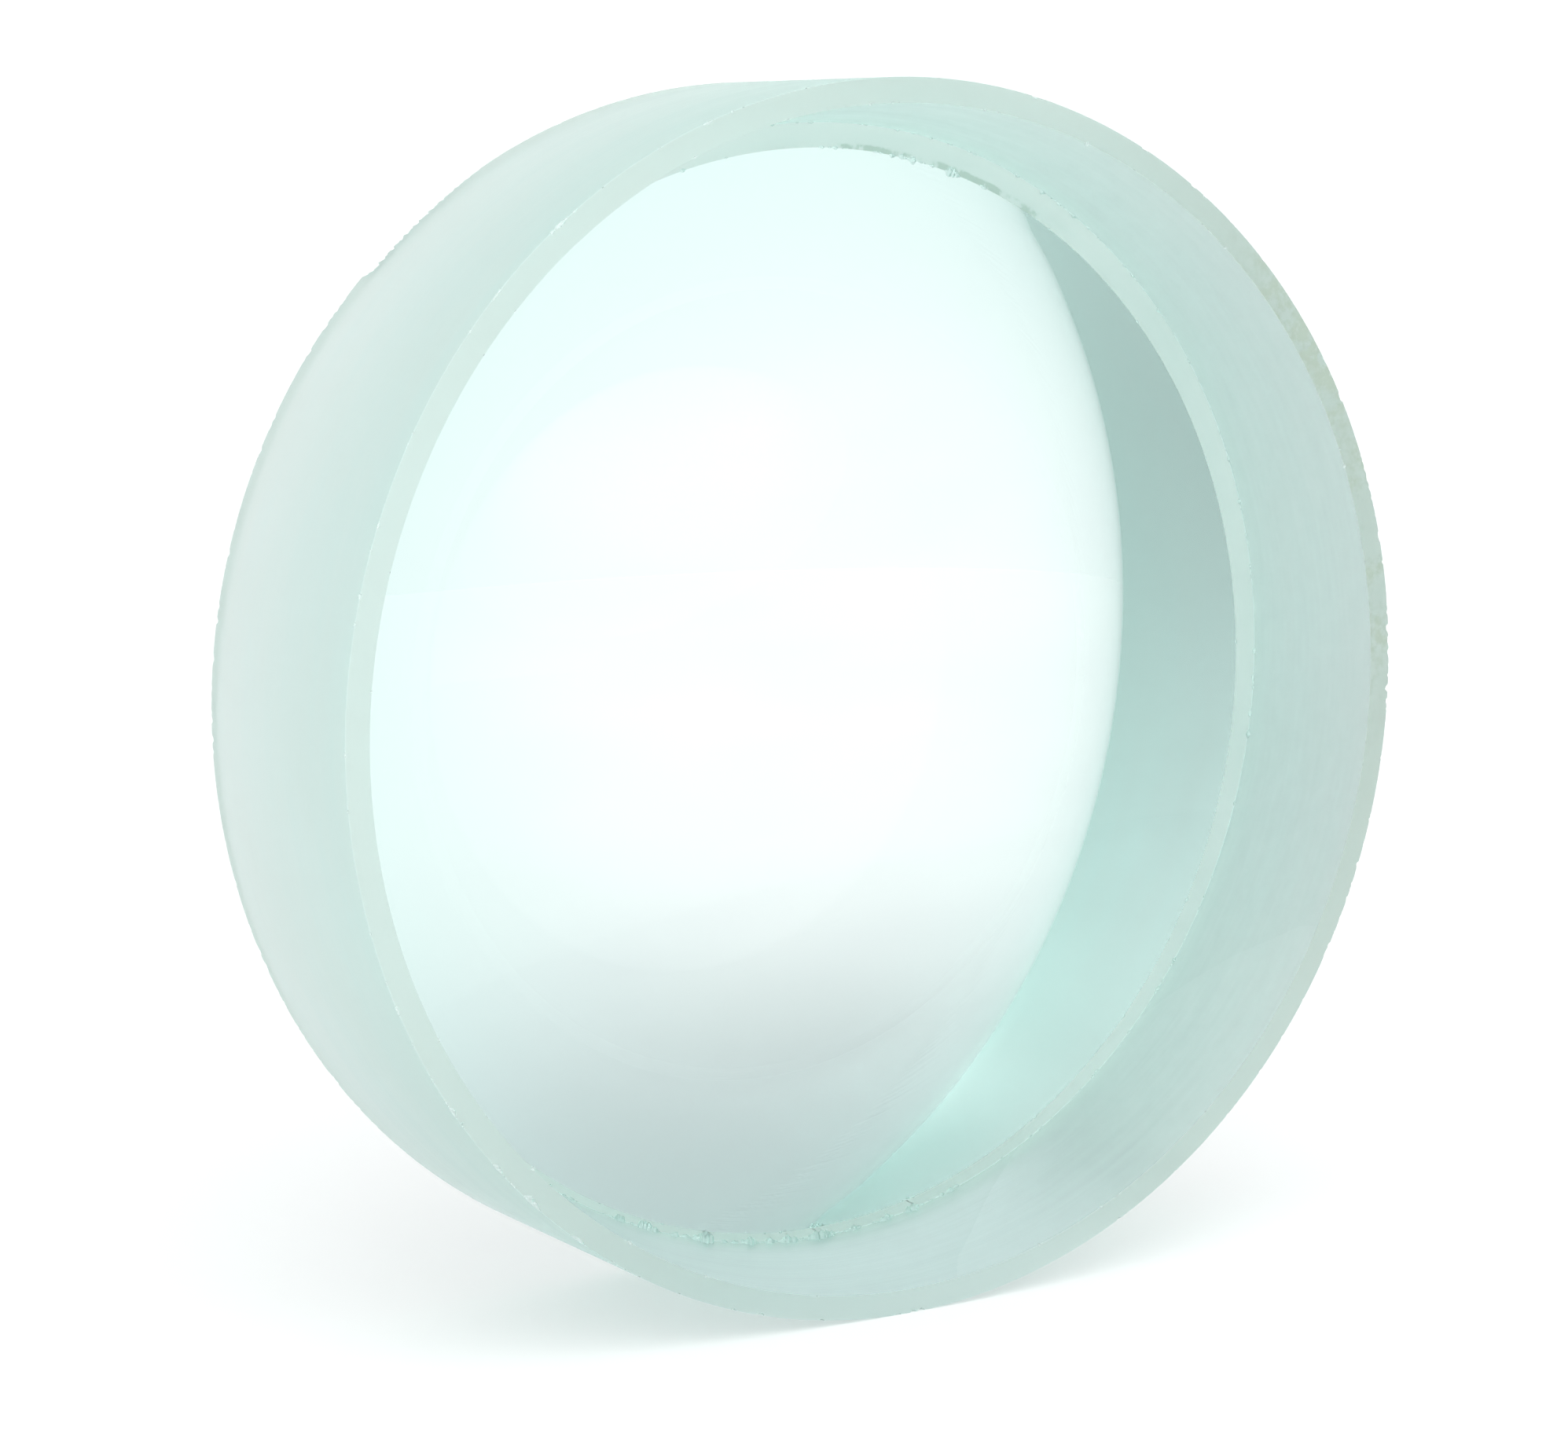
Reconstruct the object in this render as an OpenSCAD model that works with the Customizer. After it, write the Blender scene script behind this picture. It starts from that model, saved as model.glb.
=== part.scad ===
// Biconcave lens: one round piece of pale green glass, standing on its ground edge.
// Row frame in millimetres, +Z up. The lens axis runs along Y and the front hollow looks to -Y.
// The origin is on the floor, under the middle of the lens's ground edge.

/* [Glass] */
// Diameter over the ground edge
lens_d = 50; // [30:1:75]
// Thickness at the thinnest place, between the bottoms of the two hollows
centre_t = 3.4; // [2:0.1:8]

/* [Hollows] */
// Radius of curvature of the polished front hollow
front_curve_r = 70; // [60:1:200]
// Radius of curvature of the polished back hollow
back_curve_r = 70; // [60:1:200]

/* [Rims] */
// Width of the flat ground rim around the front hollow
front_rim_w = 1; // [0.5:0.1:3]
// Mean width of the flat ground rim around the back hollow
back_rim_w = 0.8; // [0.6:0.1:3]
// Sideways distance of the back hollow from the lens axis
back_shift_x = -0.25; // [-0.3:0.05:0.3]
// Height of the back hollow's middle above the lens axis
back_shift_z = -0.35; // [-0.4:0.05:0.4]

/* [Hidden] */
$fn = 180;

glass_green = [0.80, 0.91, 0.88, 0.6];
lens_r = lens_d / 2;
front_hollow_r = lens_r - front_rim_w;
back_hollow_r = lens_r - back_rim_w;
front_sag = sag(front_curve_r, front_hollow_r);
back_sag = sag(back_curve_r, back_hollow_r);
edge_t = centre_t + front_sag + back_sag;

// Depth of a spherical hollow of the given curve, over an opening of the given radius.
function sag(curve_r, opening_r) = curve_r - sqrt(curve_r * curve_r - opening_r * opening_r);

// Lays an axis that was built along Z down along Y, with its Z = 0 face towards -Y, and lifts it
// so that the ground edge stands on the floor.
module stand_on_edge() {
    translate([0, -edge_t / 2, lens_r])
        rotate([-90, 0, 0])
            children();
}

// Ground blank: a plain disc, from its front rim's plane up to its back rim's plane.
module blank() {
    cylinder(h = edge_t, r = lens_r);
}

// Ball that cuts the front hollow. Its centre lies in front of the front rim's plane.
module front_hollow_tool() {
    translate([0, 0, front_sag - front_curve_r])
        sphere(r = front_curve_r);
}

// Ball that cuts the back hollow, set a little off the axis as the real grinding left it.
module back_hollow_tool() {
    translate([back_shift_x, -back_shift_z, edge_t - back_sag + back_curve_r])
        sphere(r = back_curve_r);
}

module lens() {
    color(glass_green)
        stand_on_edge()
            difference() {
                blank();
                front_hollow_tool();
                back_hollow_tool();
            }
}

lens();
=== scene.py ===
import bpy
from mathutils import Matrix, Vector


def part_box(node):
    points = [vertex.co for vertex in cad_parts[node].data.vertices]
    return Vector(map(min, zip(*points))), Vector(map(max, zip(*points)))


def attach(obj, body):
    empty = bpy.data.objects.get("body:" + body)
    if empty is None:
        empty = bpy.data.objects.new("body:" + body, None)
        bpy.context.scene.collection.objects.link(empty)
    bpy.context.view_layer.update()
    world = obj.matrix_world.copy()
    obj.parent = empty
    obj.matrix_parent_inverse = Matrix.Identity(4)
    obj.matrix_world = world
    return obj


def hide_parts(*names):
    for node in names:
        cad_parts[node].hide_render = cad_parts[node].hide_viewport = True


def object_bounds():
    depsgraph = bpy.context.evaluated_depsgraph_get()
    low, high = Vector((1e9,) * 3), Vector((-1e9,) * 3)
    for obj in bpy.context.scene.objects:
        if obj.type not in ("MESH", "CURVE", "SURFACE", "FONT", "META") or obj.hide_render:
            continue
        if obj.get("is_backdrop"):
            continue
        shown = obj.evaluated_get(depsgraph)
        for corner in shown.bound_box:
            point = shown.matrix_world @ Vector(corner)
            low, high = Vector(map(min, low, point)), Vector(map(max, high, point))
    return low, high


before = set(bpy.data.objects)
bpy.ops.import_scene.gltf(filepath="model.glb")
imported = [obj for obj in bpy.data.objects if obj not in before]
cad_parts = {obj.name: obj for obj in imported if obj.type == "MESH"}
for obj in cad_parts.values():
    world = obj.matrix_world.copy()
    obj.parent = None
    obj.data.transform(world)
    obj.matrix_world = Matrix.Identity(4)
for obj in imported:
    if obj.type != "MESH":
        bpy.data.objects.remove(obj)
CAD_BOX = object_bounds()

"""A thick biconcave lens of pale green glass, standing on its ground edge on a white studio floor.

The lens is one closed skin, made as rings of points round the lens axis. Each strip of the skin
belongs to one surface: a polished hollow, a ground rim, the ground edge, or the chipped corner
between two of them. Sizes are in metres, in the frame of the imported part: the lens axis runs
along Y, the front hollow looks to -Y, and angles go round the axis from +X towards +Z.
"""

import logging
import math
from dataclasses import dataclass
from enum import Enum
from typing import Iterable, Optional, Union

import bpy
import numpy as np
from mathutils import Vector

MM = 0.001
TURN = 2 * math.pi
AXIS_HEIGHT = (CAD_BOX[0][2] + CAD_BOX[1][2]) / 2
REGION = "surface"

log = logging.getLogger("lens")

Number = Union[int, float]
Colour = tuple[float, float, float]

CLEAR: Colour = (1.0, 1.0, 1.0)


# ---------------------------------------------------------------- shader maths


class Value:
    """One output of a shader node. Arithmetic on it adds Math nodes."""

    def __init__(self, tree: "Tree", socket: bpy.types.NodeSocket) -> None:
        """Keeps the tree that the output belongs to.

        Args:
            tree: The tree to add Math nodes to.
            socket: The output itself.
        """
        self.tree = tree
        self.socket = socket

    def __add__(self, other: "Term") -> "Value":
        """self + other."""
        return self.tree.math("ADD", self, other)

    def __radd__(self, other: Number) -> "Value":
        """other + self."""
        return self.tree.math("ADD", other, self)

    def __sub__(self, other: "Term") -> "Value":
        """self - other."""
        return self.tree.math("SUBTRACT", self, other)

    def __rsub__(self, other: Number) -> "Value":
        """other - self."""
        return self.tree.math("SUBTRACT", other, self)

    def __mul__(self, other: "Term") -> "Value":
        """self * other."""
        return self.tree.math("MULTIPLY", self, other)

    def __rmul__(self, other: Number) -> "Value":
        """other * self."""
        return self.tree.math("MULTIPLY", other, self)

    def clamped(self) -> "Value":
        """self held between 0 and 1."""
        return self.ramp(0.0, 1.0)

    def ramp(self, low: Number, high: Number) -> "Value":
        """Smooth step of self.

        Args:
            low: Where the result is 0. It may be above high.
            high: Where the result is 1.

        Returns:
            The result, held between 0 and 1.
        """
        return self.tree.node(
            "ShaderNodeMapRange",
            {"interpolation_type": "SMOOTHSTEP"},
            {"Value": self, "From Min": low, "From Max": high},
        )


Term = Union[Value, Number]


class Tree:
    """The node tree of one material or world, with short ways to add nodes to it."""

    def __init__(self, owner: Union[bpy.types.Material, bpy.types.World]) -> None:
        """Empties the owner's node tree and gives it a new output.

        Args:
            owner: The material or world.
        """
        owner.use_nodes = True
        self.nodes = owner.node_tree.nodes
        self.links = owner.node_tree.links
        self.nodes.clear()
        kind = "World" if isinstance(owner, bpy.types.World) else "Material"
        self.output = self.nodes.new(f"ShaderNodeOutput{kind}")

    def node(self, kind: str, settings: dict, sockets: dict, out: Union[int, str] = 0) -> Value:
        """Adds a node of any kind.

        Args:
            kind: The node's type.
            settings: Its own settings, set before its sockets.
            sockets: Values or links for its inputs, by name or place.
            out: Which output to give back.

        Returns:
            The chosen output.
        """
        made = self.nodes.new(kind)
        for name, setting in settings.items():
            setattr(made, name, setting)
        for name, given in sockets.items():
            self._feed(made.inputs[name], given)
        return Value(self, made.outputs[out])

    def math(self, operation: str, *terms: Term) -> Value:
        """A Math node on values and plain numbers."""
        return self.node("ShaderNodeMath", {"operation": operation}, dict(enumerate(terms)))

    def vector(self, operation: str, *terms: object) -> Value:
        """A Vector Math node on vectors."""
        return self.node("ShaderNodeVectorMath", {"operation": operation}, dict(enumerate(terms)))

    def mix_colour(self, factor: Term, a: object, b: object) -> Value:
        """Colour a where factor is 0 and colour b where it is 1."""
        return self.node("ShaderNodeMix", {"data_type": "RGBA"}, {0: factor, 6: a, 7: b}, 2)

    def length(self, vector: Value) -> Value:
        """The length of a vector."""
        return self.node("ShaderNodeVectorMath", {"operation": "LENGTH"}, {0: vector}, "Value")

    def dot(self, a: Value, b: object) -> Value:
        """The dot product of two vectors."""
        return self.node("ShaderNodeVectorMath", {"operation": "DOT_PRODUCT"}, {0: a, 1: b}, "Value")

    def scaled(self, vector: Value, by: Term) -> Value:
        """A vector times a number."""
        return self.node("ShaderNodeVectorMath", {"operation": "SCALE"}, {0: vector, "Scale": by})

    def place(self) -> Value:
        """The point of the surface, in the part's own frame, in metres."""
        return self.node("ShaderNodeTexCoord", {}, {}, "Object")

    def parts(self, vector: Value) -> tuple[Value, Value, Value]:
        """The X, Y and Z of a vector."""
        first = self.node("ShaderNodeSeparateXYZ", {}, {0: vector}, 0)
        outs = first.socket.node.outputs
        return first, Value(self, outs[1]), Value(self, outs[2])

    def joined(self, x: Term, y: Term, z: Term) -> Value:
        """A vector from its X, Y and Z."""
        return self.node("ShaderNodeCombineXYZ", {}, {0: x, 1: y, 2: z})

    def from_axis(self) -> Value:
        """The way from the lens axis to the point, square to the axis."""
        x, _, z = self.parts(self.place())
        return self.joined(x, 0.0, z - AXIS_HEIGHT)

    def noise(self, vector: Value, scale: Number, detail: Number = 3.0, rough: Number = 0.5) -> Value:
        """Fractal noise from 0 to 1, with features about 1 / scale across."""
        sockets = {"Vector": vector, "Scale": scale, "Detail": detail, "Roughness": rough}
        return self.node("ShaderNodeTexNoise", {}, sockets, 0)

    def specks(self, vector: Value, scale: Number) -> Value:
        """Distance to the nearest of a scatter of points, in cells."""
        return self.node("ShaderNodeTexVoronoi", {}, {"Vector": vector, "Scale": scale}, "Distance")

    def bump(self, height: Value, distance: Number, strength: Number = 1.0) -> Value:
        """A normal from a height that runs from 0 to 1 over the given distance."""
        sockets = {"Height": height, "Distance": distance, "Strength": strength}
        return self.node("ShaderNodeBump", {}, sockets)

    def shader(self, kind: str, sockets: dict) -> Value:
        """A shader node."""
        return self.node(kind, {}, sockets)

    def mix_shaders(self, factor: Term, a: Value, b: Value) -> Value:
        """Shader a where factor is 0 and shader b where it is 1."""
        return self.node("ShaderNodeMixShader", {}, {0: factor, 1: a, 2: b})

    def finish(self, surface: Value, volume: Optional[Value] = None) -> None:
        """Links the shaders to the output."""
        self.links.new(surface.socket, self.output.inputs["Surface"])
        if volume is not None:
            self.links.new(volume.socket, self.output.inputs["Volume"])

    def _feed(self, socket: bpy.types.NodeSocket, given: object) -> None:
        """Links a value to an input, or sets a plain number or colour on it."""
        if isinstance(given, Value):
            self.links.new(given.socket, socket)
        elif socket.type == "RGBA":
            socket.default_value = (*given[:3], 1.0)
        else:
            socket.default_value = given


# ---------------------------------------------------------------- finishes


@dataclass
class Layer:
    """What one finish gives the skin of the glass. Each of them may vary over the surface."""

    tint: object
    skin: object
    roughness: "Term"
    frost: "Term"
    height_mm: "Term"


@dataclass(frozen=True)
class Polished:
    """A clear polished hollow with a little dust, faint smears, a dull zone near its top and painted
    shade at its foot.
    """

    shift: float = 0.0
    speck_scale: float = 260.0
    speck_from: float = 0.56
    dust_frost: float = 0.6
    smear_scale: float = 62.0
    smear_wide: float = 0.8
    smear_tall: float = 2.2
    film_from: float = 9 * MM
    film_full: float = 22 * MM
    dull_from: float = 34 * MM
    dull_full: float = 48 * MM
    dull_roughness: float = 0.06
    smear_roughness: float = 0.004
    foot_from: float = 17 * MM
    foot_full: float = 4 * MM
    dust_colour: Colour = (0.62, 0.66, 0.64)
    smear_colour: Colour = (0.93, 0.93, 0.94)
    film_colour: Colour = (0.935, 0.945, 0.945)
    # Painted shade at the foot of the hollow; clear paints none.
    foot_shade_colour: Colour = CLEAR

    def layer(self, tree: Tree) -> Layer:
        """Builds the finish.

        Args:
            tree: The material's tree.

        Returns:
            What the finish gives the skin.
        """
        place = tree.vector("ADD", tree.place(), (self.shift, self.shift, self.shift))
        x, _, height = tree.parts(place)
        drawn_out = tree.joined(x * self.smear_wide, 0.0, height * self.smear_tall)
        smears = tree.noise(drawn_out, self.smear_scale, 2.0).ramp(0.42, 0.72)
        _, _, height = tree.parts(tree.place())
        film = tree.length(tree.from_axis()).ramp(self.film_from, self.film_full)
        dull = height.ramp(self.dull_from, self.dull_full)
        dull_noise = dull * tree.noise(place, 3500.0, 2.0)
        # Painted shade: towards the bottom the tint runs to the foot colour, darkening the floor's
        # shadow seen through the hollow.
        foot = height.ramp(self.foot_from, self.foot_full)
        filmed = tree.mix_colour(film, CLEAR, self.film_colour)
        smeared = tree.mix_colour(smears, filmed, self.smear_colour)
        return Layer(
            tint=tree.mix_colour(foot, smeared, self.foot_shade_colour),
            skin=self.dust_colour,
            roughness=dull_noise * self.dull_roughness + smears * self.smear_roughness,
            frost=self._dust(tree, place) * self.dust_frost,
            height_mm=0.0,
        )

    def _dust(self, tree: Tree, place: Value) -> Value:
        """Sparse specks of dust, most of them under a fifth of a millimetre across."""
        near = tree.specks(place, self.speck_scale)
        patches = tree.noise(place, 90.0, 2.0)
        size = (patches - self.speck_from) * 0.5
        return (size.clamped() - near).ramp(0.0, 0.02)


@dataclass(frozen=True)
class Dirt:
    """Thin brownish dirt caught in ground skin, placed along X, along Z and from the axis."""

    x_from: float
    x_full: float
    z_from: float
    z_full: float
    clear_r: float = 30 * MM
    full_r: float = 25 * MM
    amount: float = 0.7
    colour: Colour = (0.52, 0.54, 0.43)
    patch_scale: float = 420.0
    streak_scale: float = 1900.0

    def thickness(self, tree: Tree) -> Value:
        """How much of it there is, from 0 to 1."""
        x, _, z = tree.parts(tree.place())
        patches = tree.noise(tree.place(), self.patch_scale, 4.0, 0.65).ramp(0.42, 0.68)
        streaks = tree.noise(tree.place(), self.streak_scale, 3.0, 0.6).ramp(0.3, 0.6)
        within = x.ramp(self.x_from, self.x_full) * z.ramp(self.z_from, self.z_full)
        near = tree.length(tree.from_axis()).ramp(self.clear_r, self.full_r)
        return patches * streaks * within * near * self.amount


@dataclass(frozen=True)
class Ground:
    """Ground glass: a matt skin with fine grinding lines that run round the lens, and painted shade
    to +X.
    """

    tint: Colour = (0.88, 0.955, 0.95)
    pale: Colour = (1.0, 1.0, 1.0)
    skin: Colour = (0.74, 0.83, 0.785)
    # Painted shade: the skin colour used towards +X, where the room's light is dim.
    skin_painted_shade: Colour = (0.44, 0.52, 0.50)
    roughness: float = 0.66
    frost: float = 0.55
    lines_across: float = 5200.0
    bands_across: float = 5200.0 * 0.22
    lines_round: float = 2.25
    # Where the painted shade on the +X side starts and is full, and how much of it stays near the
    # bottom.
    right_from: float = 2 * MM
    right_full: float = 24 * MM
    low_from: float = 8 * MM
    low_full: float = 30 * MM
    low_share: float = 0.45
    depth_mm: float = 0.005
    foot_wear: float = 0.65
    foot_gloss: float = 0.45
    foot_from: float = 6.5 * MM
    foot_full: float = 1 * MM
    dirt: Optional[Dirt] = None

    def layer(self, tree: Tree) -> Layer:
        """Builds the finish.

        Args:
            tree: The material's tree.

        Returns:
            What the finish gives the skin.
        """
        lines = self._grinding_lines(tree, self.lines_across)
        bands = self._grinding_lines(tree, self.bands_across)
        mottle = tree.noise(tree.place(), 160.0, 4.0, 0.6)
        grain = tree.noise(tree.place(), 5200.0, 2.0)
        x, _, z = tree.parts(tree.place())
        # Painted shade: side runs from 0 to 1 towards +X, weaker near the bottom, and darkens the
        # skin there.
        high = self.low_share + (1 - self.low_share) * z.ramp(self.low_from, self.low_full)
        side = x.ramp(self.right_from, self.right_full) * high
        side = (side + (bands - 0.5) * 0.3).clamped()
        skin = tree.mix_colour(side, self.skin, self.skin_painted_shade)
        dirt: Term = 0.0
        if self.dirt is not None:
            dirt = self.dirt.thickness(tree)
            skin = tree.mix_colour((dirt * 2.5).clamped(), skin, self.dirt.colour)
        tint = tree.mix_colour((mottle * 0.5 + bands * 0.5).ramp(0.34, 0.64), self.tint, self.pale)
        cover = 0.55 + 0.6 * mottle + 0.3 * (bands - 0.25)
        worn = self._worn_foot(tree)
        return Layer(
            tint=tint,
            skin=skin,
            roughness=(self.roughness + (mottle - 0.5) * 0.16 + (lines - 0.5) * 0.14)
            * (1 - worn * self.foot_gloss),
            frost=self.frost * cover * (1 - worn * self.foot_wear) + dirt,
            height_mm=(lines * 0.6 + grain * 0.4) * self.depth_mm,
        )

    def _grinding_lines(self, tree: Tree, across: float) -> Value:
        """Streaks that run round the axis: noise that is fine across them and slow along them."""
        _, along_axis, _ = tree.parts(tree.place())
        from_axis = tree.from_axis()
        radius = tree.length(from_axis)
        fine = tree.joined(along_axis * across, radius * across, 0.0)
        slow = tree.scaled(tree.vector("NORMALIZE", from_axis), self.lines_round)
        return tree.noise(tree.vector("ADD", fine, slow), 1.0, 3.0, 0.55)

    def _worn_foot(self, tree: Tree) -> Value:
        """How far the skin is rubbed smoother, down where the lens stood, from 0 to 1."""
        _, _, height = tree.parts(tree.place())
        return height.ramp(self.foot_from, self.foot_full)


@dataclass(frozen=True)
class Chipped:
    """Fresh shell-like breaks along a corner, glossy with fine ripples."""

    roughness: float = 0.25
    frost: float = 0.58
    skin: Colour = (0.97, 0.99, 0.98)
    ripple_scale: float = 2600.0
    ripple_mm: float = 0.015

    def layer(self, tree: Tree) -> Layer:
        """Builds the finish.

        Args:
            tree: The material's tree.

        Returns:
            What the finish gives the skin.
        """
        ripples = tree.noise(tree.place(), self.ripple_scale, 3.0, 0.6)
        return Layer(
            tint=CLEAR,
            skin=self.skin,
            roughness=self.roughness + (ripples - 0.5) * 0.2,
            frost=self.frost,
            height_mm=ripples * self.ripple_mm,
        )


@dataclass(frozen=True)
class GreenGlass:
    """The one material of the lens: pale green glass, with each surface's own finish on it.

    The whole skin shares one material, so that light which enters through one surface and
    leaves through another is outside the glass again.
    """

    finishes: tuple[Union[Polished, Ground, Chipped], ...]
    ior: float = 1.517
    passed: Colour = (0.12, 0.87, 0.75)
    density: float = 20.0
    glow: float = 0.55
    glow_colour: Colour = (0.70, 0.80, 0.77)
    matt_roughness: float = 0.8

    def material(self) -> bpy.types.Material:
        """Builds the material.

        Returns:
            The material.
        """
        made = bpy.data.materials.new("green_glass")
        tree = Tree(made)
        region = tree.node("ShaderNodeAttribute", {"attribute_name": REGION}, {}, "Fac")
        tint: object = CLEAR
        skin_colour: object = CLEAR
        roughness: Term = 0.0
        frost: Term = 0.0
        height: Term = 0.0
        for place, finish in enumerate(self.finishes):
            here = tree.math("COMPARE", region, place, 0.5)
            layer = finish.layer(tree)
            tint = tree.mix_colour(here, tint, layer.tint)
            skin_colour = tree.mix_colour(here, skin_colour, layer.skin)
            roughness = roughness + here * layer.roughness
            frost = frost + here * layer.frost
            height = height + here * layer.height_mm
        normal = tree.bump(height, 1 * MM)
        glass = tree.shader("ShaderNodeBsdfPrincipled", {
            "Base Color": tint,
            "Roughness": roughness,
            "IOR": self.ior,
            "Transmission Weight": 1.0,
            "Normal": normal,
        })
        matt = tree.shader("ShaderNodeBsdfPrincipled", {
            "Base Color": skin_colour, "Roughness": self.matt_roughness, "Normal": normal,
        })
        glow = tree.shader("ShaderNodeBsdfTranslucent", {
            "Color": self.glow_colour, "Normal": normal,
        })
        skin = tree.mix_shaders(self.glow, matt, glow)
        depth = tree.shader("ShaderNodeVolumeAbsorption", {
            "Color": self.passed, "Density": self.density,
        })
        tree.finish(tree.mix_shaders(frost, glass, skin), depth)
        return made


# ---------------------------------------------------------------- the lens


class Surface(Enum):
    """The surfaces of the lens. The value is the place of its finish in the glass."""

    FRONT_HOLLOW = 0
    BACK_HOLLOW = 1
    EDGE = 2
    FRONT_RIM = 3
    BACK_RIM = 4
    CHIPS = 5


@dataclass(frozen=True)
class Chip:
    """One shell-like break in a corner, placed by its angle round the lens axis."""

    at_deg: float
    length: float
    reach: float
    lean: float = 0.0

    def depth(self, angles: np.ndarray, radius: float) -> np.ndarray:
        """How far the break reaches in from the corner.

        Args:
            angles: Angles round the axis, in radians.
            radius: The corner's radius, which turns the chip's length into an angle.

        Returns:
            The reach at each angle, 0 outside the break.
        """
        half = self.length / (2 * radius)
        off = (angles - math.radians(self.at_deg) + math.pi) % TURN - math.pi
        from_deepest = off / half - self.lean
        side = np.where(from_deepest > 0, 1 - self.lean, 1 + self.lean)
        return self.reach * np.clip(1 - (from_deepest / side) ** 2, 0, None)


@dataclass(frozen=True)
class Run:
    """A stretch of a corner with small chips scattered over it."""

    from_deg: float
    to_deg: float
    count: int
    shortest: float
    longest: float

    def chips(self, draw: np.random.RandomState) -> list[Chip]:
        """Draws its chips, most of them short."""
        made = []
        for _ in range(self.count):
            length = self.shortest + (self.longest - self.shortest) * draw.rand() ** 2
            made.append(Chip(
                draw.uniform(self.from_deg, self.to_deg),
                length,
                length * draw.uniform(0.12, 0.34),
                draw.uniform(-0.7, 0.7),
            ))
        return made


@dataclass(frozen=True)
class WornLine:
    """A corner after its wear: how far it is cut back on its face and on its side, all round."""

    face: np.ndarray
    side: np.ndarray
    broken: np.ndarray


@dataclass(frozen=True)
class Wear:
    """How chipped a corner is: a rounded line, runs of small chips and a few named ones."""

    seed: int
    rounding: float
    runs: tuple[Run, ...]
    named: tuple[Chip, ...] = ()

    def line(self, angles: np.ndarray, radius: float) -> WornLine:
        """Wears the corner.

        Args:
            angles: Angles round the axis, in radians.
            radius: The corner's radius.

        Returns:
            The worn corner.
        """
        draw = np.random.RandomState(self.seed)
        rounded = self.rounding * (0.7 + 0.3 * draw.rand(len(angles)))
        ragged = 1 + self._ragged(draw, angles)
        face = np.zeros(len(angles))
        side = np.zeros(len(angles))
        for chip in [chip for run in self.runs for chip in run.chips(draw)] + list(self.named):
            depth = chip.depth(angles, radius) * ragged
            face = np.maximum(face, depth)
            side = np.maximum(side, depth * draw.uniform(0.6, 1.7))
        broken = face > self.rounding
        return WornLine(np.maximum(face, rounded), np.maximum(side, rounded), broken)

    @staticmethod
    def _ragged(draw: np.random.RandomState, angles: np.ndarray) -> np.ndarray:
        """A wobble in the outline of the chips, from waves a tenth to half a millimetre long."""
        waves = ((310, 0.14), (520, 0.12), (890, 0.06), (1370, 0.03))
        return sum(
            height * np.sin(count * angles + draw.uniform(0, TURN)) for count, height in waves
        )


@dataclass
class Ring:
    """One closed loop of points, and the surface of the strip that starts at it.

    Where broken says so, that strip is a chip. A hard ring keeps a crisp line along itself.
    """

    points: np.ndarray
    surface: Surface
    broken: Optional[np.ndarray] = None
    hard: bool = False

    def surfaces(self, count: int) -> list[Surface]:
        """The surface of each face of the strip.

        Args:
            count: How many faces the strip has.

        Returns:
            One surface for each face.
        """
        if self.broken is None:
            return [self.surface] * count
        either_end = self.broken | np.roll(self.broken, -1)
        return [Surface.CHIPS if chipped else self.surface for chipped in either_end]


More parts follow.
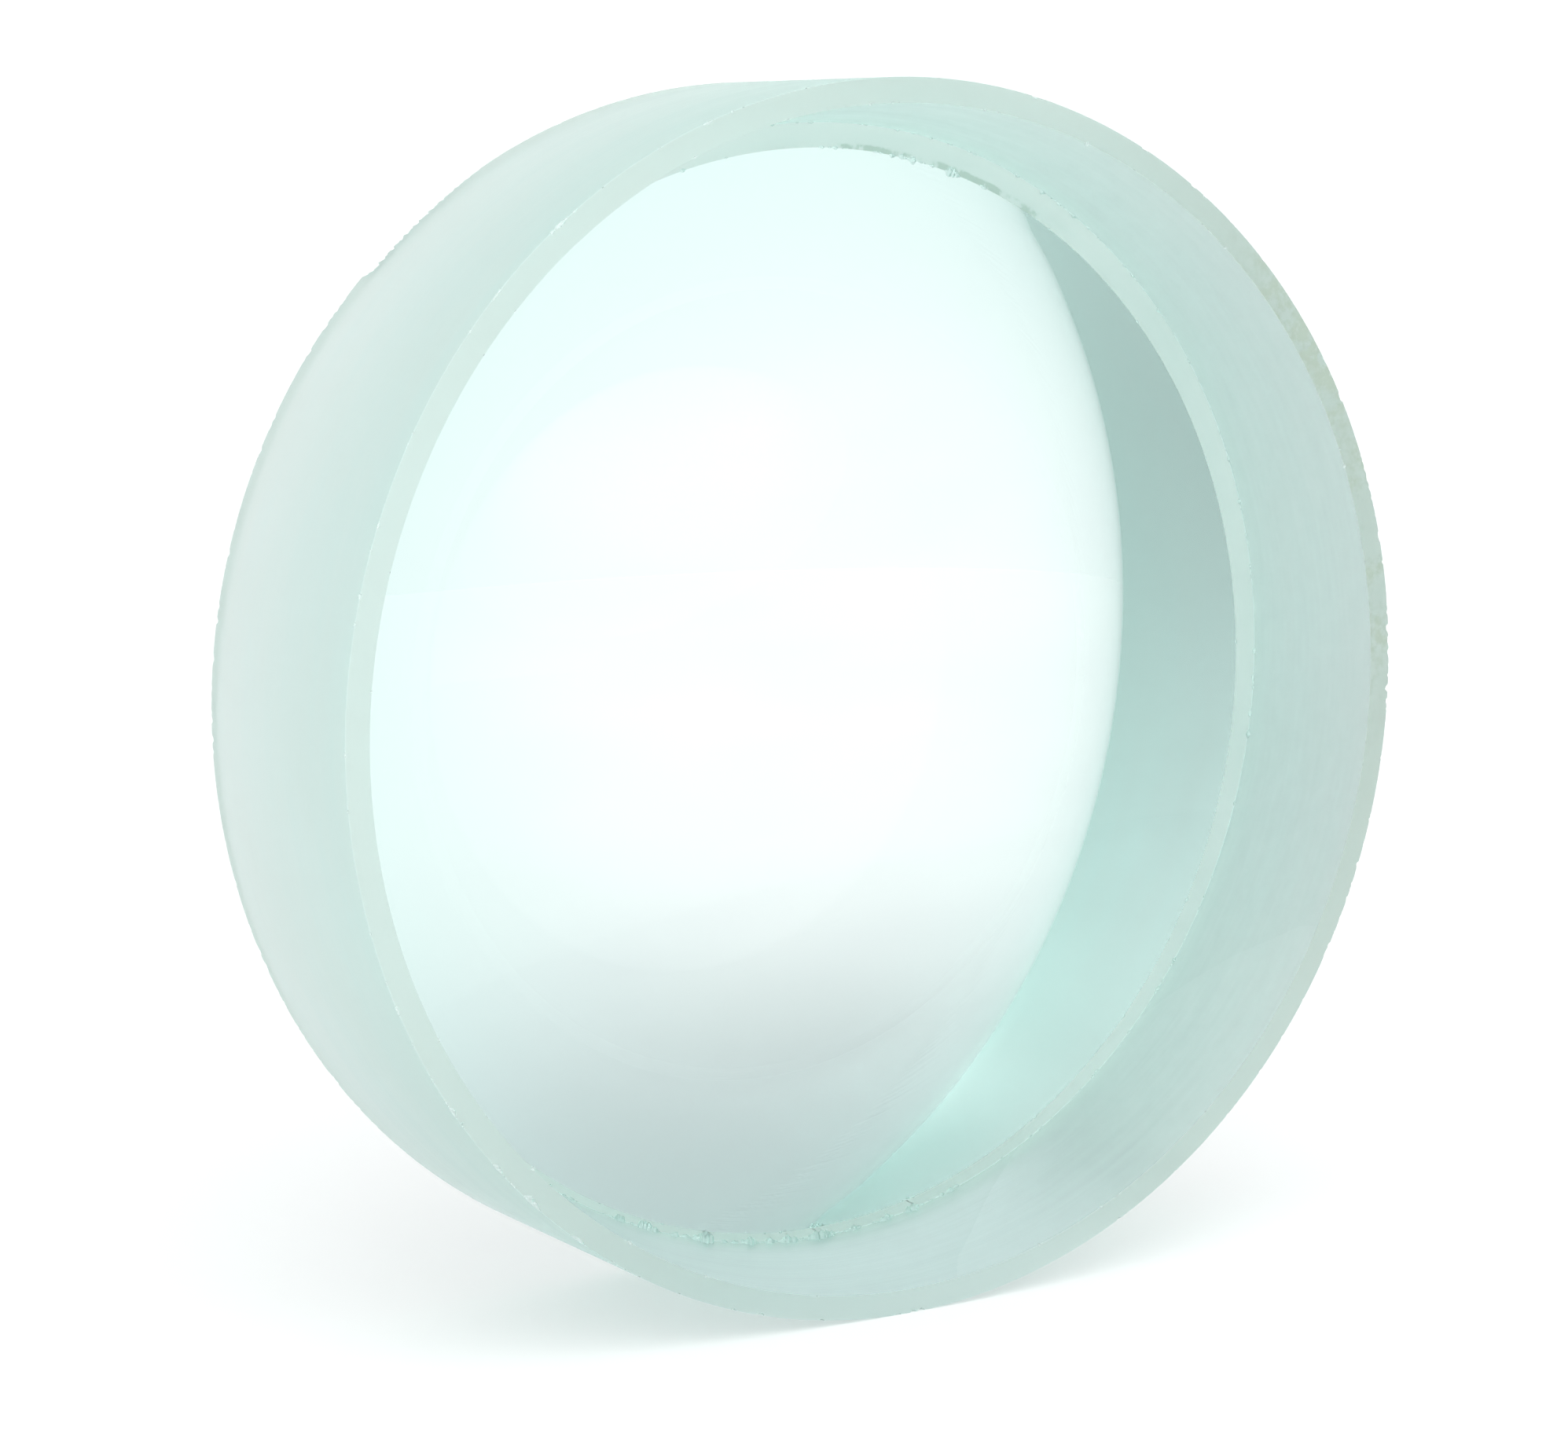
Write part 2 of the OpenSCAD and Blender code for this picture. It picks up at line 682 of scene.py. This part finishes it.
@dataclass
class Lens:
    """The lens as one closed skin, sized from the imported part's box."""

    low: Vector
    high: Vector
    curve_r: float = 70 * MM
    front_rim_w: float = 1.0 * MM
    back_rim_w: float = 0.8 * MM
    back_shift_x: float = -0.25 * MM
    back_shift_z: float = -0.35 * MM
    fine: int = 3360
    coarse: int = 420
    hollow_rings: int = 20
    scoop_steps: int = 4
    facet: float = 0.004 * MM
    broken_sink: float = 0.28
    sound_sink: float = -0.20
    corner_zone: float = 0.7 * MM
    corner_gap: float = 0.8 * MM
    wall_clear: float = 1.6 * MM
    wall_loops: int = 5

    def __post_init__(self) -> None:
        """Works out the places that the box fixes."""
        self.radius = (self.high.x - self.low.x) / 2
        self.axis_z = (self.high.z + self.low.z) / 2
        self.front_y = self.low.y
        self.back_y = self.high.y
        self.angles = np.arange(self.fine) * TURN / self.fine

    def build(self) -> bpy.types.Object:
        """Makes the lens and dresses it.

        Returns:
            The lens object.
        """
        rings = self._rings()
        vertices, faces, surfaces = self._skin(rings)
        mesh = bpy.data.meshes.new("lens_glass")
        mesh.from_pydata(vertices, [], faces)
        mesh.materials.append(GreenGlass(self._finishes()).material())
        regions = mesh.attributes.new(REGION, "FLOAT", "FACE")
        regions.data.foreach_set("value", [float(s.value) for s in surfaces])
        mesh.polygons.foreach_set("use_smooth", [s is not Surface.CHIPS for s in surfaces])
        hard = np.concatenate([[ring.hard] * len(ring.points) for ring in rings])
        self._sharpen(mesh, surfaces, hard)
        piece = bpy.data.objects.new("lens_glass", mesh)
        bpy.context.scene.collection.objects.link(piece)
        log.info("lens skin: %d points, %d faces", len(vertices), len(faces))
        return piece

    @staticmethod
    def _finishes() -> tuple[Union[Polished, Ground, Chipped], ...]:
        """One finish for each surface, in the order of Surface."""
        # The right-hand skin colours of both rims are painted shade on their +X side.
        front_rim = Ground(
            roughness=0.7, frost=0.6, tint=(0.90, 0.93, 0.90), pale=(0.98, 0.98, 0.95),
            skin=(0.70, 0.76, 0.72), skin_painted_shade=(0.50, 0.54, 0.47),
            dirt=Dirt(14 * MM, 21 * MM, 20 * MM, 27 * MM),
        )
        back_rim = Ground(
            roughness=0.6, frost=0.74, tint=(1.0, 0.92, 0.90), pale=(1.0, 0.96, 0.94),
            skin=(0.94, 0.86, 0.83), skin_painted_shade=(0.80, 0.74, 0.71), foot_wear=0.0, foot_gloss=0.0,
            dirt=Dirt(-4 * MM, 2 * MM, 44 * MM, 47 * MM, 24.15 * MM, 23.95 * MM, amount=1.0),
        )
        # Painted shade: the back hollow's grey foot colour darkens the floor's shadow seen through
        # the bottom of the lens.
        back_hollow = Polished(shift=0.31, foot_shade_colour=(0.66, 0.65, 0.68))
        return Polished(), back_hollow, Ground(), front_rim, back_rim, Chipped()

    # Wear of the four corners, from front to back.

    @staticmethod
    def _front_inner_wear() -> Wear:
        """The corner between the front hollow and its rim: crisp."""
        return Wear(11, 0.015 * MM, (Run(0, 360, 40, 0.08 * MM, 0.25 * MM),))

    @staticmethod
    def _front_outer_wear() -> Wear:
        """The front corner of the edge: jagged on the right, shallow chips at the lower left."""
        return Wear(
            23, 0.03 * MM,
            runs=(
                Run(0, 360, 110, 0.10 * MM, 0.40 * MM),
                Run(-40, 25, 70, 0.12 * MM, 0.45 * MM),
                Run(198, 240, 12, 0.10 * MM, 0.35 * MM),
            ),
            named=(
                Chip(112, 0.6 * MM, 0.09 * MM),
                Chip(129, 0.8 * MM, 0.11 * MM, 0.4),
                Chip(203, 0.5 * MM, 0.10 * MM),
                Chip(214, 0.6 * MM, 0.13 * MM, -0.3),
                Chip(221, 0.7 * MM, 0.14 * MM, 0.5),
                Chip(226, 1.1 * MM, 0.20 * MM, -0.4),
                Chip(232, 0.8 * MM, 0.12 * MM, 0.2),
            ),
        )

    @staticmethod
    def _back_outer_wear() -> Wear:
        """The back corner of the edge: chipped all round, most of all at the bottom."""
        return Wear(
            37, 0.03 * MM,
            runs=(
                Run(0, 360, 260, 0.10 * MM, 0.45 * MM),
                Run(244, 288, 64, 0.20 * MM, 0.85 * MM),
                Run(200, 228, 14, 0.20 * MM, 0.60 * MM),
            ),
            named=(
                Chip(128, 7.5 * MM, 0.50 * MM, 0.9),
                Chip(217, 0.9 * MM, 0.22 * MM, 0.3),
                Chip(249, 1.1 * MM, 0.34 * MM, -0.5),
                Chip(256, 1.3 * MM, 0.38 * MM, 0.4),
                Chip(262, 0.9 * MM, 0.26 * MM, -0.2),
                Chip(270, 1.2 * MM, 0.30 * MM, 0.6),
            ),
        )

    @staticmethod
    def _back_inner_wear() -> Wear:
        """The corner between the back hollow and its rim: a few chips near the top."""
        return Wear(
            41, 0.015 * MM,
            runs=(
                Run(0, 360, 50, 0.08 * MM, 0.30 * MM),
                Run(64, 90, 16, 0.15 * MM, 0.60 * MM),
            ),
            named=(Chip(72, 0.9 * MM, 0.24 * MM, 0.3),),
        )

    # The skin, from the middle of the front hollow round to the middle of the back one.

    def _rings(self) -> list[Ring]:
        """All the loops of points, in order."""
        front = self._hollow_side(Surface.FRONT_HOLLOW)
        back = self._hollow_side(Surface.BACK_HOLLOW)
        wall = self._wall()
        return front + wall + self._turned(back)

    def _turned(self, rings: list[Ring]) -> list[Ring]:
        """The same loops in the other order, each with the strip that then starts at it."""
        strips = rings[:-1][::-1] + [rings[0]]
        return [
            Ring(ring.points, strip.surface, strip.broken, ring.hard)
            for ring, strip in zip(rings[::-1], strips)
        ]

    def _hollow_side(self, hollow: Surface) -> list[Ring]:
        """A hollow, its inner corner and its flat rim, from the middle outwards.

        Args:
            hollow: FRONT_HOLLOW or BACK_HOLLOW.

        Returns:
            Loops up to the start of the outer corner's wear.
        """
        is_front = hollow is Surface.FRONT_HOLLOW
        rim = Surface.FRONT_RIM if is_front else Surface.BACK_RIM
        opening = self.radius - (self.front_rim_w if is_front else self.back_rim_w)
        shift = (0.0, 0.0) if is_front else (self.back_shift_x, self.back_shift_z)
        face_y, inwards = (self.front_y, 1.0) if is_front else (self.back_y, -1.0)
        inner = self._front_inner_wear() if is_front else self._back_inner_wear()
        outer = self._front_outer_wear() if is_front else self._back_outer_wear()

        def bowl(distance: np.ndarray) -> np.ndarray:
            """Height of the hollow's surface at a distance from its own axis."""
            lip = math.sqrt(self.curve_r**2 - opening**2)
            return face_y + inwards * (np.sqrt(self.curve_r**2 - distance**2) - lip)

        def loop(distance: object, y: object, count: int) -> np.ndarray:
            """A loop at a distance from the hollow's own axis."""
            turn = np.arange(count) * TURN / count
            x = shift[0] + distance * np.cos(turn)
            z = self.axis_z + shift[1] + distance * np.sin(turn)
            return np.stack([x, np.broadcast_to(y, x.shape), z], axis=1)

        worn = inner.line(self.angles, opening)
        clear_of_wear = opening - self.corner_zone
        rings = []
        for step in range(1, self.hollow_rings + 1):
            distance = (clear_of_wear - self.corner_gap) * step / self.hollow_rings
            rings.append(Ring(loop(distance, bowl(distance), self.coarse), hollow))
        rings.append(Ring(loop(clear_of_wear, bowl(clear_of_wear), self.fine), hollow))
        start = loop(opening - worn.side, bowl(opening - worn.side), self.fine)
        end = loop(opening + worn.face, face_y, self.fine)
        rings += self._scoop(start, end, worn, rim, inwards)
        rings[-1].broken = None
        outer_line = outer.line(self.angles, self.radius)
        corner = self._round(self.radius - outer_line.face, face_y)
        rings.append(Ring(corner, Surface.EDGE, outer_line.broken, hard=True))
        return rings

    def _round(self, radius: object, y: object) -> np.ndarray:
        """A loop of fine points round the lens axis."""
        x = radius * np.cos(self.angles)
        z = self.axis_z + radius * np.sin(self.angles)
        return np.stack([x, np.broadcast_to(y, x.shape), z], axis=1)

    def _scoop(
        self, start: np.ndarray, end: np.ndarray, worn: WornLine, sound: Surface, inwards: float
    ) -> list[Ring]:
        """The face of a worn corner: rounded where it is sound, hollowed where it is broken.

        Args:
            start: The loop where the worn face starts.
            end: The loop where it ends.
            worn: The wear of the corner.
            sound: The surface that its sound stretches belong to.
            inwards: +1 where the glass lies towards +Y, or -1.

        Returns:
            Loops from start to end.
        """
        outwards = np.stack([np.cos(self.angles), np.zeros(self.fine), np.sin(self.angles)], axis=1)
        along = end - start
        out, up = (along * outwards).sum(axis=1), along[:, 1]
        into = outwards * -up[:, None] + np.array([0.0, 1.0, 0.0]) * out[:, None]
        into *= (np.sign(out) * inwards / np.hypot(out, up))[:, None]
        sink = np.where(worn.broken, self.broken_sink, self.sound_sink) * np.hypot(out, up)
        ripple = np.random.RandomState(len(sound.name))
        rings = []
        for step in range(self.scoop_steps + 1):
            t = step / self.scoop_steps
            uneven = np.where(worn.broken, ripple.uniform(-1, 1, self.fine), 0.0) * self.facet
            points = start * (1 - t) + end * t
            points = points + into * ((sink + uneven) * 4 * t * (1 - t))[:, None]
            rings.append(Ring(points, sound, worn.broken, hard=t in (0, 1)))
        return rings

    def _wall(self) -> list[Ring]:
        """The two worn outer corners and the ground edge between them."""
        front = self._front_outer_wear().line(self.angles, self.radius)
        back = self._back_outer_wear().line(self.angles, self.radius)
        front_start = self._round(self.radius - front.face, self.front_y)
        front_low = self._round(self.radius, self.front_y + front.side)
        back_low = self._round(self.radius, self.back_y - back.side)
        back_start = self._round(self.radius - back.face, self.back_y)
        rings = self._scoop(front_start, front_low, front, Surface.EDGE, 1.0)[1:]
        rings[-1].broken = None
        every = self.fine // self.coarse
        low, high = self.front_y + self.wall_clear, self.back_y - self.wall_clear
        for y in np.linspace(low, high, self.wall_loops):
            rings.append(Ring(self._round(self.radius, y)[::every], Surface.EDGE))
        return rings + self._scoop(back_low, back_start, back, Surface.EDGE, -1.0)[:-1]

    def _skin(self, rings: list[Ring]) -> tuple[list, list, list[Surface]]:
        """Joins the loops into one closed skin, with a point at each end.

        Args:
            rings: The loops, in order.

        Returns:
            Vertices, faces and the surface of each face.
        """
        vertices: list = []
        starts = []
        for ring in rings:
            starts.append(len(vertices))
            vertices.extend(map(tuple, ring.points))
        faces: list = []
        surfaces: list[Surface] = []
        for ring, after, a, b in zip(rings, rings[1:], starts, starts[1:]):
            strip = list(self._strip(a, len(ring.points), b, len(after.points)))
            faces += strip
            surfaces += ring.surfaces(len(strip))
        for ring, start, hollow in (
            (rings[0], starts[0], Surface.FRONT_HOLLOW),
            (rings[-1], starts[-1], Surface.BACK_HOLLOW),
        ):
            pole = self._pole(hollow)
            vertices.append(pole)
            tip, count = len(vertices) - 1, len(ring.points)
            for i in range(count):
                pair = (start + i, start + (i + 1) % count)
                faces.append((tip, *pair) if hollow is Surface.FRONT_HOLLOW else (tip, *pair[::-1]))
                surfaces.append(hollow)
        return vertices, faces, surfaces

    def _pole(self, hollow: Surface) -> tuple[float, float, float]:
        """The deepest point of a hollow."""
        if hollow is Surface.FRONT_HOLLOW:
            opening = self.radius - self.front_rim_w
            sag = self.curve_r - math.sqrt(self.curve_r**2 - opening**2)
            return 0.0, self.front_y + sag, self.axis_z
        opening = self.radius - self.back_rim_w
        sag = self.curve_r - math.sqrt(self.curve_r**2 - opening**2)
        return self.back_shift_x, self.back_y - sag, self.axis_z + self.back_shift_z

    @staticmethod
    def _strip(a: int, count_a: int, b: int, count_b: int) -> Iterable[tuple[int, ...]]:
        """Faces between two loops, which may have different numbers of points.

        Args:
            a: First vertex of the first loop.
            count_a: Points in the first loop.
            b: First vertex of the second loop.
            count_b: Points in the second loop.

        Yields:
            Faces that all look the same way.
        """
        if count_a == count_b:
            for i in range(count_a):
                j = (i + 1) % count_a
                yield a + i, b + i, b + j, a + j
            return
        flip = count_a > count_b
        few, many = (b, a) if flip else (a, b)
        count_few, count_many = sorted((count_a, count_b))
        share = count_many // count_few
        for i in range(count_few):
            j = (i + 1) % count_few
            fan = [few + i]
            fan += [many + (i * share + k) % count_many for k in range(share + 1)]
            middle = share // 2 + 1
            triangles = [(fan[0], fan[k], fan[k + 1]) for k in range(1, middle)]
            triangles.append((fan[0], fan[middle], few + j))
            triangles += [(few + j, fan[k], fan[k + 1]) for k in range(middle, share + 1)]
            for triangle in triangles:
                yield triangle[::-1] if flip else triangle

    @staticmethod
    def _sharpen(mesh: bpy.types.Mesh, surfaces: list[Surface], hard: np.ndarray) -> None:
        """Keeps a hard line wherever two surfaces meet and along the hard rings.

        Args:
            mesh: The skin.
            surfaces: The surface of each of its faces.
            hard: Whether each of its points lies on a hard ring. The two poles come after these.
        """
        first: dict[tuple[int, int], Surface] = {}
        sharp = set()
        for face, surface in zip(mesh.polygons, surfaces):
            for key in face.edge_keys:
                if first.setdefault(key, surface) is not surface:
                    sharp.add(key)
        on_ring = np.append(hard, (False, False))
        ends = np.array([tuple(sorted(edge.vertices)) for edge in mesh.edges])
        flags = on_ring[ends].all(axis=1) | np.array([tuple(pair) in sharp for pair in ends])
        mesh.attributes.new("sharp_edge", "BOOLEAN", "EDGE").data.foreach_set("value", flags)


# ---------------------------------------------------------------- the studio


@dataclass
class Studio:
    """White paper that sweeps up all round, in a room dimmer to the front and right, and one lamp.

    The paper glows a little of its own. Its grey and glow fade towards shaded_at as painted shade,
    and the sweep of the room's light fades there too.
    """

    floor_r: float = 4.0
    floor_corners: int = 96
    room_colour: Colour = (0.98, 1.0, 1.0)
    backdrop_bright: float = 1.11
    room_dim: float = 0.45
    sweep_bright: float = 1.11
    backdrop_at: tuple[float, float, float] = (0.50, 0.86, 0.12)
    shaded_bright: float = 0.40
    shaded_at: tuple[float, float, float] = (0.70, -0.71, 0.0)
    key_from: tuple[float, float, float] = (-0.10, -0.64, 0.76)
    key_bright: float = 2.0
    key_full_deg: float = 16.0
    key_gone_deg: float = 40.0
    lamp_width_deg: float = 90.0
    lamp_power: float = 0.5
    paper: float = 0.63
    # Grey of the paper far off towards the shaded side: painted shade.
    paper_shaded: float = 0.28
    paper_glow: float = 0.315
    glow_fade: float = 0.6
    fade_from: float = 0.03
    fade_full: float = 0.40
    side_bright: float = 0.80
    side_at: tuple[float, float, float] = (-0.93, -0.30, 0.20)

    def build(self) -> None:
        """Makes the floor, the room's light and the key light."""
        self._floor()
        self._room()
        self._key_light()

    def _floor(self) -> None:
        """A round white floor at the height that the lens stands on."""
        count = self.floor_corners
        turn = np.arange(count) * TURN / count
        rim = [(self.floor_r * math.cos(t), self.floor_r * math.sin(t), 0.0) for t in turn]
        mesh = bpy.data.meshes.new("floor")
        mesh.from_pydata(rim, [], [tuple(range(count))])
        paper = bpy.data.materials.new("white_paper")
        tree = Tree(paper)
        # Painted shade: far off towards the dim side of the room, the paper's grey and glow darken.
        towards = self._shade(tree, tree.vector("NORMALIZE", tree.place()))
        floor_shade = towards * tree.length(tree.place()).ramp(self.fade_from, self.fade_full)
        grey = self.paper - floor_shade * (self.paper - self.paper_shaded)
        glow = 1 - floor_shade * self.glow_fade
        tree.finish(tree.shader("ShaderNodeBsdfPrincipled", {
            "Base Color": tree.joined(grey, grey, grey),
            "Roughness": 0.9,
            "Emission Color": tree.joined(glow, glow, glow),
            "Emission Strength": self.paper_glow,
        }))
        mesh.materials.append(paper)
        floor = bpy.data.objects.new("floor", mesh)
        bpy.context.scene.collection.objects.link(floor)
        floor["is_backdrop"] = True

    def _shade(self, tree: Tree, direction: Value) -> Value:
        """How far a direction looks to the shaded side, from 0 to 1."""
        return tree.dot(direction, self.shaded_at).ramp(0.35, 0.85)

    def _room(self) -> None:
        """The room: a bright backdrop, a low sweep of paper all round, dim walls and a softbox."""
        world = bpy.data.worlds.new("white_room")
        bpy.context.scene.world = world
        tree = Tree(world)
        looking = tree.node("ShaderNodeTexCoord", {}, {}, "Generated")
        _, _, height = tree.parts(looking)
        backdrop = tree.dot(looking, self.backdrop_at).ramp(0.25, 0.85)
        room = self.room_dim + backdrop * (self.backdrop_bright - self.room_dim)
        sweep = height.ramp(0.22, 0.02)
        shaded = self._shade(tree, looking)
        paper = self.sweep_bright - shaded * (self.sweep_bright - self.shaded_bright)
        key = tree.dot(looking, self.key_from).ramp(
            math.cos(math.radians(self.key_gone_deg)), math.cos(math.radians(self.key_full_deg))
        )
        side = tree.dot(looking, self.side_at).ramp(0.3, 0.95)
        strength = room + sweep * (paper - room) + key * self.key_bright + side * self.side_bright
        sockets = {"Color": self.room_colour, "Strength": strength}
        tree.finish(tree.shader("ShaderNodeBackground", sockets))

    def _key_light(self) -> None:
        """A very broad lamp that strengthens the softbox."""
        light = bpy.data.lights.new("key_light", "SUN")
        light.angle = math.radians(self.lamp_width_deg)
        light.energy = self.lamp_power
        lamp = bpy.data.objects.new("key_light", light)
        lamp.rotation_euler = (-Vector(self.key_from)).to_track_quat("-Z", "Y").to_euler()
        bpy.context.scene.collection.objects.link(lamp)


@dataclass
class Viewpoint:
    """The camera, placed by its direction and distance from the middle of the front rim."""

    middle: Vector
    azimuth_deg: float = -33.9
    elevation_deg: float = 7.65
    distance: float = 161 * MM
    lens_mm: float = 92.2
    aim_off: tuple[float, float, float] = (-2.8 * MM, 5.0 * MM, -1.1 * MM)

    def build(self) -> None:
        """Makes the camera and makes it the scene's own."""
        azimuth, elevation = math.radians(self.azimuth_deg), math.radians(self.elevation_deg)
        back = Vector((
            math.sin(azimuth) * math.cos(elevation),
            -math.cos(azimuth) * math.cos(elevation),
            math.sin(elevation),
        ))
        data = bpy.data.cameras.new("camera")
        data.lens = self.lens_mm
        data.clip_start = 0.005
        data.clip_end = 10.0
        camera = bpy.data.objects.new("camera", data)
        camera.location = self.middle + back * self.distance
        look = self.middle + Vector(self.aim_off) - camera.location
        camera.rotation_euler = look.to_track_quat("-Z", "Y").to_euler()
        bpy.context.scene.collection.objects.link(camera)
        bpy.context.scene.camera = camera


def write_sizes() -> None:
    boxes = {"cad": CAD_BOX, "visual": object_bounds()}
    plain = {name: [list(corner) for corner in box] for name, box in boxes.items()}


def main() -> None:
    """Builds the lens, the studio and the camera."""
    logging.basicConfig(level=logging.INFO, format="%(name)s: %(message)s")
    bpy.context.scene.view_settings.view_transform = "Standard"
    low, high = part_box("lens")
    piece = Lens(low, high).build()
    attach(piece, "root")
    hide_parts("lens")
    log.info("%s rides on root and stands for the CAD lens", piece.name)
    Studio().build()
    Viewpoint(Vector((0, low.y, (low.z + high.z) / 2))).build()
    write_sizes()


if __name__ == "__main__":
    main()
